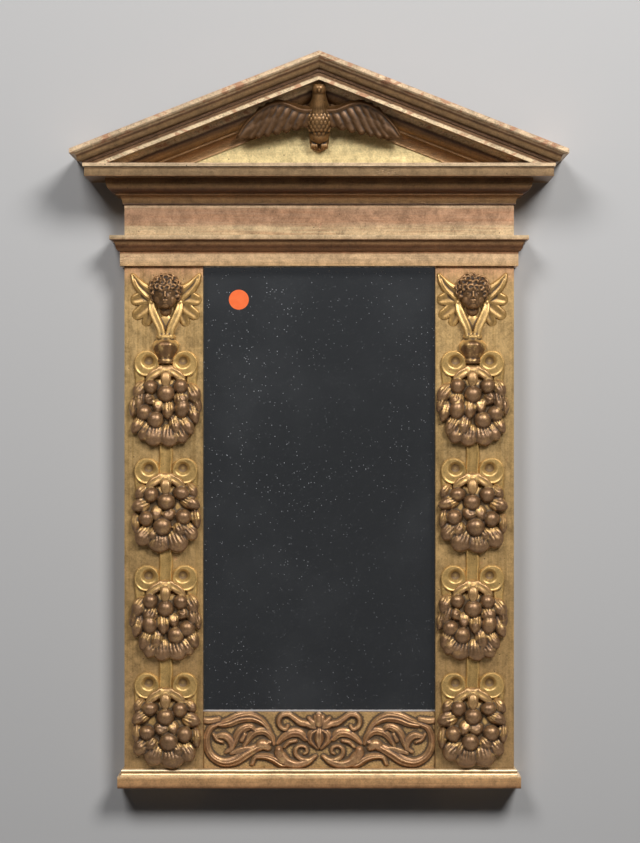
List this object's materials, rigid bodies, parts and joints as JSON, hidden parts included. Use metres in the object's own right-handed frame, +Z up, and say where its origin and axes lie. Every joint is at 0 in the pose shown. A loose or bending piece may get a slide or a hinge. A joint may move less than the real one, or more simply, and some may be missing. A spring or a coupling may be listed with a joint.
{
  "type": "wall mirror",
  "caption": "Upright wall mirror framed as a small temple front: pilasters with hanging fruit, an entablature and a pediment with a dove, hung by a swinging ring.",
  "frame": {"origin": "the point on the wall plane behind the inside top of the hanging ring, where the wall hook bears, on the mirror's centre line", "axes": "+Z up, the mirror's front faces -Y, +Y points into the wall, +X to the viewer's right"},
  "size_m": [0.466, 0.078, 0.6935],
  "materials": {
    "gilt_ground": "old gilding over red-brown bole, fine grain",
    "gilt_frieze": "old gilding, rubbed through to the bole in streaks",
    "gilt_tympanum": "pale gilding with dark specks",
    "gilt_moulding": "old gilding, rubbed pale on the edges and dark in the hollows",
    "gilt_carving": "bronzed gilding, bright on the high points",
    "gilt_scroll": "worn gilding, red-brown bole showing",
    "dove_bronze": "dark bronzed gilding, worn pale on the edges",
    "raw_pine": "old bare pine",
    "mirror_plate": "old silvered plate with small specks",
    "paper": "matt orange paper",
    "brass": "dull old brass",
    "iron": "dark iron"
  },
  "bodies": {
    "frame": {"stile_right": "gilt_ground", "stile_left": "gilt_ground", "bottom_rail": "gilt_ground", "carved_panel_board": "gilt_ground", "top_rail": "gilt_frieze", "tympanum_board": "gilt_tympanum", "cornice_board": "gilt_moulding", "raking_board_right": "gilt_moulding", "raking_board_left": "gilt_moulding", "base_moulding_front": "gilt_moulding", "base_moulding_right": "gilt_moulding", "base_moulding_left": "gilt_moulding", "architrave_front": "gilt_moulding", "architrave_right": "gilt_moulding", "architrave_left": "gilt_moulding", "bed_moulding_front": "gilt_moulding", "bed_moulding_right": "gilt_moulding", "bed_moulding_left": "gilt_moulding", "raking_bed_right": "gilt_moulding", "raking_bed_left": "gilt_moulding", "raking_cymatium_right": "gilt_moulding", "raking_cymatium_left": "gilt_moulding", "cymatium_return_right": "gilt_moulding", "cymatium_return_left": "gilt_moulding", "joint_pegs": "raw_pine", "glue_blocks": "raw_pine", "glazing_blocks": "raw_pine", "backboard": "raw_pine", "mirror_plate": "mirror_plate", "backboard_brads": "iron", "hanger_screws": "iron", "paper_dot": "paper", "hanger_strap": "brass", "childs_head_right": "gilt_carving", "childs_wings_right": "gilt_carving", "drape_right": "gilt_carving", "bows_right": "gilt_carving", "stems_right": "gilt_carving", "fruit_bunch_1_right": "gilt_carving", "fruit_bunch_2_right": "gilt_carving", "fruit_bunch_3_right": "gilt_carving", "fruit_bunch_4_right": "gilt_carving", "childs_head_left": "gilt_carving", "childs_wings_left": "gilt_carving", "drape_left": "gilt_carving", "bows_left": "gilt_carving", "stems_left": "gilt_carving", "fruit_bunch_1_left": "gilt_carving", "fruit_bunch_2_left": "gilt_carving", "fruit_bunch_3_left": "gilt_carving", "fruit_bunch_4_left": "gilt_carving", "dove_body": "dove_bronze", "dove_wing_right": "dove_bronze", "dove_wing_left": "dove_bronze", "scroll_centre": "gilt_scroll", "scroll_right": "gilt_scroll", "scroll_left": "gilt_scroll"},
    "ring": {"hanging_ring": "brass"}
  },
  "joints": [
    {"name": "ring_swing", "type": "hinge", "parent": "frame", "child": "ring", "pos_m": [0, -0.00625, -0.0175], "axis": [-1, 0, 0], "range_deg": [0, 175]}
  ]
}
